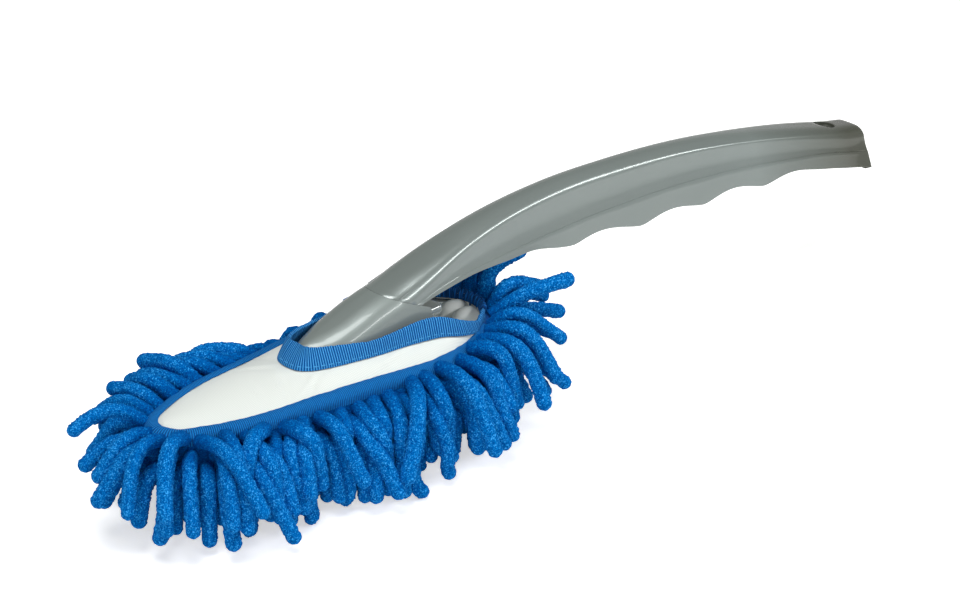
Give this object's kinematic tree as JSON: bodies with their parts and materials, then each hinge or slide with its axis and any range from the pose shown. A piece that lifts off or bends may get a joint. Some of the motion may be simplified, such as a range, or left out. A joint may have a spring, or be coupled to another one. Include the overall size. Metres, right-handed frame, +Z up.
{
  "type": "hand mop",
  "caption": "Hand mop with an arched plastic handle, a finger grip, a boat-shaped head and a slip-on chenille cover with a white top.",
  "frame": {"origin": "centre of the bounding box, on the surface that the strands stand on", "axes": "+X from the nose of the head towards the end of the handle, +Y to the user's right of the head seen from the nose, +Z up"},
  "size_m": [0.4054, 0.1076, 0.0777],
  "materials": {
    "silver_plastic": "glossy silver-grey moulding",
    "light_plastic": "matte light grey moulding",
    "screw_steel": "zinc plated",
    "foam": "open-cell foam",
    "white_cloth": "plain woven",
    "blue_tape": "ribbed woven tape",
    "dark_tape": "smooth elastic tape",
    "chenille": "microfibre chenille pile"
  },
  "bodies": {
    "mop": {"handle_arm": "silver_plastic", "neck_socket": "silver_plastic", "head_plate": "light_plastic", "plate_screw_front": "screw_steel", "plate_screw_left": "screw_steel", "plate_screw_right": "screw_steel", "foam_pad": "foam", "cover_panel": "white_cloth", "opening_binding": "blue_tape", "opening_elastic": "dark_tape", "edge_binding_left": "blue_tape", "edge_binding_right": "blue_tape", "tail_tape": "dark_tape", "strands_nose": "chenille", "strands_left_front": "chenille", "strands_left_rear": "chenille", "strands_tail": "chenille", "strands_right_rear": "chenille", "strands_right_front": "chenille", "sole_front": "chenille", "sole_middle": "chenille", "sole_rear": "chenille"},
    "tongue": {"release_tongue": "silver_plastic"}
  },
  "joints": [
    {"name": "tongue_lift", "type": "hinge", "parent": "mop", "child": "tongue", "pos_m": [-0.08431, 0.00006, 0.04665], "axis": [0, -1, 0], "range_deg": [0, 4], "stiffness_Nm_per_rad": 0.5}
  ]
}
